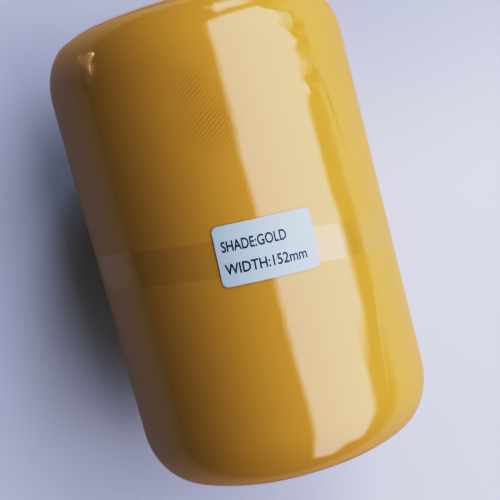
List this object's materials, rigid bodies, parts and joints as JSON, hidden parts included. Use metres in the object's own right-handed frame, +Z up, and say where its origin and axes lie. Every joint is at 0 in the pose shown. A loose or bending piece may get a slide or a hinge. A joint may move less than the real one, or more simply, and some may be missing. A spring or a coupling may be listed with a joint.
{
  "type": "tulle fabric roll",
  "caption": "Roll of gold net fabric ribbon on a paper core, closed with clear tape and sealed in clear shrink film with a paper sticker.",
  "frame": {"origin": "on the table under the middle of the roll, at the middle of the small settled flat it rests on", "axes": "+Y along the roll's axis, +Z up away from the table through the sticker side, +X to the side the sticker leans to"},
  "size_m": [0.1016, 0.154, 0.1011],
  "materials": {
    "net_fabric": "matte",
    "core_paper": "matte",
    "clear_tape": "gloss",
    "clear_film": "gloss",
    "label_paper": "matte"
  },
  "bodies": {
    "root": {"core_inner_ply": "core_paper", "core_middle_ply": "core_paper", "core_outer_ply": "core_paper", "start_tape": "clear_tape", "tulle_winding": "net_fabric", "tulle_last_turn": "net_fabric", "closing_tape": "clear_tape", "shrink_film": "clear_film", "size_label": "label_paper"}
  },
  "joints": []
}
